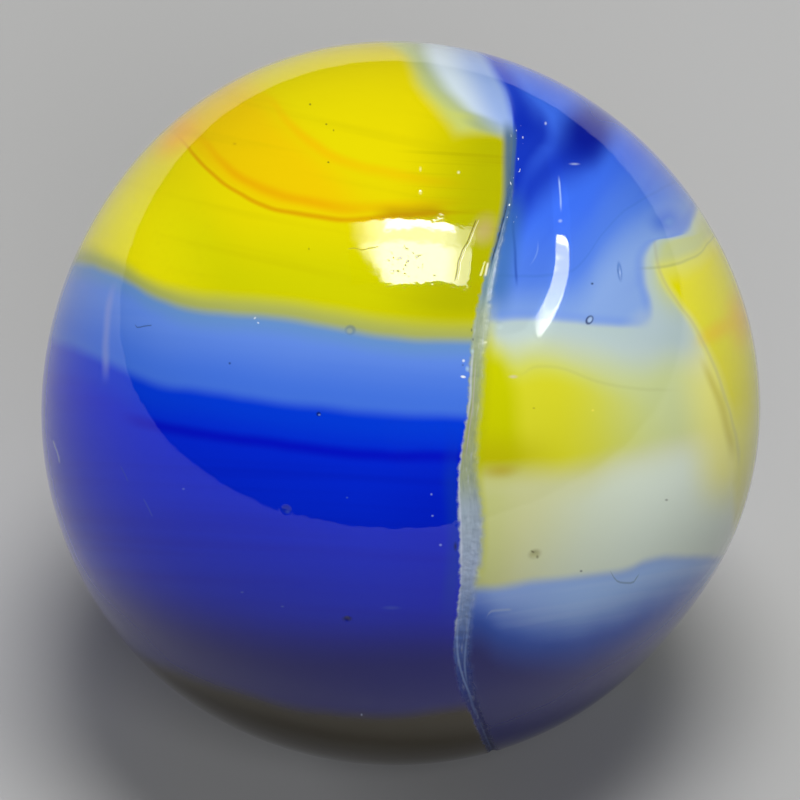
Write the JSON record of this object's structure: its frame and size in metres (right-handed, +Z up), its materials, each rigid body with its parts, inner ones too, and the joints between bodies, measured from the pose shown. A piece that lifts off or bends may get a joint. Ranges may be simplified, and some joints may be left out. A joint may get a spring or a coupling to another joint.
{
  "type": "glass marble",
  "caption": "Solid glass marble with swirled coloured streams and an open fold seam across its face.",
  "frame": {"origin": "centre of the ball", "axes": "+Z up; the face with the fold looks forward along -Y and up by 40 degrees, +X to its right"},
  "size_m": [0.016, 0.016, 0.016],
  "materials": {
    "swirl_glass": "glossy, opaque swirled glass"
  },
  "bodies": {
    "root": {"marble": "swirl_glass"}
  },
  "joints": []
}
